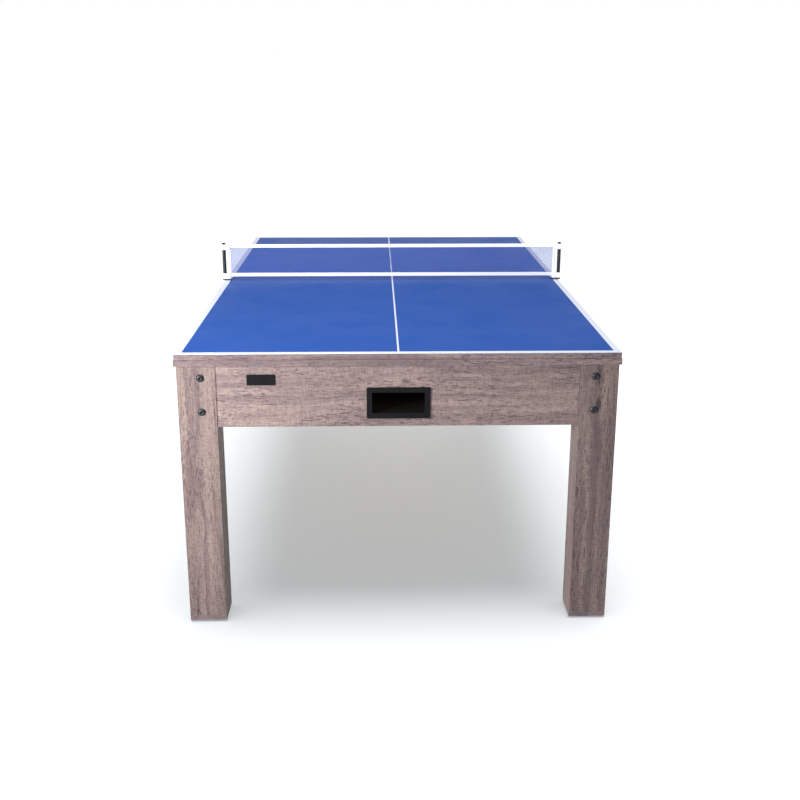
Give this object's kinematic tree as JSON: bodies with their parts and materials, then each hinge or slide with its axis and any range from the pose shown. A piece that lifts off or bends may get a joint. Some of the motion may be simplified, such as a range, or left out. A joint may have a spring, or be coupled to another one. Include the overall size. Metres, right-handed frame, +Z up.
{
  "type": "pool table with table-tennis top",
  "caption": "Home pool table with square legs and an end ball return, fitted with a two-piece lift-off table-tennis top, net and clip-on posts.",
  "frame": {"origin": "on the floor, below the middle of the table", "axes": "+X to the right across the table, +Y along the table from the ball return end to the far end, +Z up"},
  "size_m": [1.229, 2.154, 0.9336],
  "materials": {
    "oak_laminate": "satin",
    "fibreboard": "matt",
    "blue_surface": "satin",
    "white_lines": "satin",
    "cushion_cloth": "cloth-covered",
    "bed_cloth": "matt",
    "black_plastic": "satin",
    "black_steel": "satin",
    "bare_steel": "satin",
    "white_plastic": "satin",
    "white_tape": "matt",
    "net_cord": "matt",
    "felt": "matt",
    "foot_rubber": "matt"
  },
  "bodies": {
    "cabinet": {"front_apron": "oak_laminate", "rear_apron": "oak_laminate", "left_apron": "oak_laminate", "right_apron": "oak_laminate", "front_rail": "oak_laminate", "rear_rail": "oak_laminate", "left_rail": "oak_laminate", "right_rail": "oak_laminate", "rail_blocks": "fibreboard", "front_cushion": "cushion_cloth", "rear_cushion": "cushion_cloth", "left_cushions": "cushion_cloth", "right_cushions": "cushion_cloth", "playfield_board": "fibreboard", "bed_cloth": "bed_cloth", "corner_pocket_liners": "black_plastic", "side_pocket_liners": "black_plastic", "left_ball_gutter": "black_plastic", "right_ball_gutter": "black_plastic", "front_ball_gutters": "black_plastic", "ball_tray": "black_plastic", "ball_return_bezel": "black_plastic", "bed_beams": "fibreboard", "bed_ledgers": "fibreboard", "corner_blocks": "fibreboard", "corner_brackets": "bare_steel", "rail_brackets": "bare_steel", "front_left_leg": "oak_laminate", "front_right_leg": "oak_laminate", "rear_left_leg": "oak_laminate", "rear_right_leg": "oak_laminate", "leg_caps": "oak_laminate", "leg_bolts": "black_steel", "nameplate": "black_plastic"},
    "near_top": {"near_top_panel": "oak_laminate", "near_top_surface": "blue_surface", "near_top_lines": "white_lines", "near_top_pads": "felt"},
    "far_top": {"far_top_panel": "oak_laminate", "far_top_surface": "blue_surface", "far_top_lines": "white_lines", "far_top_pads": "felt"},
    "left_net_post": {"left_post_clip": "black_steel", "left_post": "black_steel", "left_post_cap": "black_plastic"},
    "right_net_post": {"right_post_clip": "black_steel", "right_post": "black_steel", "right_post_cap": "black_plastic"},
    "net": {"net_mesh": "net_cord", "net_tapes": "white_tape", "net_end_bands": "white_tape", "net_brackets": "white_plastic"},
    "front_left_foot": {"front_left_glide": "foot_rubber", "front_left_stud": "bare_steel"},
    "front_right_foot": {"front_right_glide": "foot_rubber", "front_right_stud": "bare_steel"},
    "rear_left_foot": {"rear_left_glide": "foot_rubber", "rear_left_stud": "bare_steel"},
    "rear_right_foot": {"rear_right_glide": "foot_rubber", "rear_right_stud": "bare_steel"}
  },
  "joints": [
    {"name": "near_top_lift", "type": "slide", "parent": "cabinet", "child": "near_top", "axis": [0, 0, 1], "range_m": [0, 0.25]},
    {"name": "far_top_lift", "type": "slide", "parent": "cabinet", "child": "far_top", "axis": [0, 0, 1], "range_m": [0, 0.25]},
    {"name": "left_clip_pull", "type": "slide", "parent": "far_top", "child": "left_net_post", "axis": [-1, 0, 0], "range_m": [0, 0.035]},
    {"name": "right_clip_pull", "type": "slide", "parent": "far_top", "child": "right_net_post", "axis": [1, 0, 0], "range_m": [0, 0.035]},
    {"name": "net_lift", "type": "slide", "parent": "far_top", "child": "net", "axis": [0, 0, 1], "range_m": [0, 0.14]},
    {"name": "front_left_level", "type": "slide", "parent": "cabinet", "child": "front_left_foot", "axis": [0, 0, -1], "range_m": [0, 0.012]},
    {"name": "front_right_level", "type": "slide", "parent": "cabinet", "child": "front_right_foot", "axis": [0, 0, -1], "range_m": [0, 0.012]},
    {"name": "rear_left_level", "type": "slide", "parent": "cabinet", "child": "rear_left_foot", "axis": [0, 0, -1], "range_m": [0, 0.012]},
    {"name": "rear_right_level", "type": "slide", "parent": "cabinet", "child": "rear_right_foot", "axis": [0, 0, -1], "range_m": [0, 0.012]}
  ]
}
